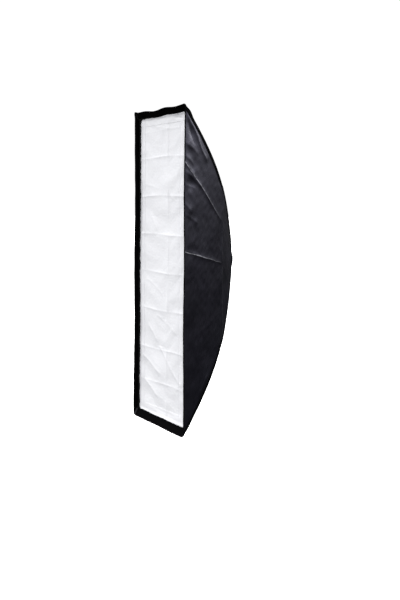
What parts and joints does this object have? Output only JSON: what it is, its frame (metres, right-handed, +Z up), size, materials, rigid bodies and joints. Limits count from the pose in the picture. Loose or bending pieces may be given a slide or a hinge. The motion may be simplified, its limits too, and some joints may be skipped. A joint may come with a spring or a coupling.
{
  "type": "studio softbox",
  "caption": "Tall narrow studio softbox: bowed rods from a turning speed ring stretch a black fabric shell with a recessed white front diffuser.",
  "frame": {"origin": "centre of the bayonet insert's mating plane, on the axis of the speed ring", "axes": "+Z up along the tall side, -Y out of the front diffuser, +Y into the light along the ring's axis, +X across the narrow side"},
  "size_m": [0.364, 0.5475, 1.6],
  "materials": {
    "shell_fabric": "black satin nylon, silver coated inside",
    "hem_tape": "black woven binding tape",
    "hook_tape": "black hook and loop tape",
    "diffuser_fabric": "white translucent nylon with packing creases",
    "baffle_fabric": "thin white nylon",
    "elastic": "black ribbed elastic",
    "bayonet_steel": "pressed zinc-plated steel",
    "cast_aluminium": "cast and machined aluminium",
    "socket_steel": "turned steel",
    "rod_fibreglass": "black pultruded glass fibre",
    "cap_plastic": "moulded black plastic",
    "washer_steel": "plated steel washers",
    "black_screw": "blackened steel screws",
    "knob_plastic": "knurled black plastic"
  },
  "bodies": {
    "mount": {"bayonet_insert": "bayonet_steel"},
    "speed_ring": {"shell_top": "shell_fabric", "shell_bottom": "shell_fabric", "shell_left": "shell_fabric", "shell_right": "shell_fabric", "rear_yoke": "shell_fabric", "front_hem": "hem_tape", "loop_tape_top": "hook_tape", "loop_tape_bottom": "hook_tape", "loop_tape_left": "hook_tape", "loop_tape_right": "hook_tape", "inner_baffle": "baffle_fabric", "speed_ring": "cast_aluminium", "rod_socket_top_left": "socket_steel", "rod_top_left": "rod_fibreglass", "rod_cap_top_left": "cap_plastic", "rod_pocket_top_left": "hem_tape", "baffle_strap_top_left": "elastic", "rod_socket_top_right": "socket_steel", "rod_top_right": "rod_fibreglass", "rod_cap_top_right": "cap_plastic", "rod_pocket_top_right": "hem_tape", "baffle_strap_top_right": "elastic", "rod_socket_bottom_left": "socket_steel", "rod_bottom_left": "rod_fibreglass", "rod_cap_bottom_left": "cap_plastic", "rod_pocket_bottom_left": "hem_tape", "baffle_strap_bottom_left": "elastic", "rod_socket_bottom_right": "socket_steel", "rod_bottom_right": "rod_fibreglass", "rod_cap_bottom_right": "cap_plastic", "rod_pocket_bottom_right": "hem_tape", "baffle_strap_bottom_right": "elastic", "ring_washer_right": "washer_steel", "ring_screw_right": "black_screw", "ring_washer_left": "washer_steel", "ring_screw_left": "black_screw", "ring_washer_bottom": "washer_steel", "ring_screw_bottom": "black_screw", "lock_washer": "washer_steel"},
    "front_diffuser": {"diffuser_border": "hook_tape", "diffuser_cloth": "diffuser_fabric"},
    "lock_screw": {"lock_knob": "knob_plastic"}
  },
  "joints": [
    {"name": "ring_turn", "type": "hinge", "parent": "mount", "child": "speed_ring", "pos_m": [0, 0, 0], "axis": [0, 1, 0], "continuous": true},
    {"name": "diffuser_pull", "type": "slide", "parent": "speed_ring", "child": "front_diffuser", "axis": [0, -1, 0], "range_m": [0, 0.12]},
    {"name": "lock_turn", "type": "hinge", "parent": "speed_ring", "child": "lock_screw", "pos_m": [0, 0, 0.068], "axis": [0, 1, 0], "range_deg": [0, 720]}
  ]
}
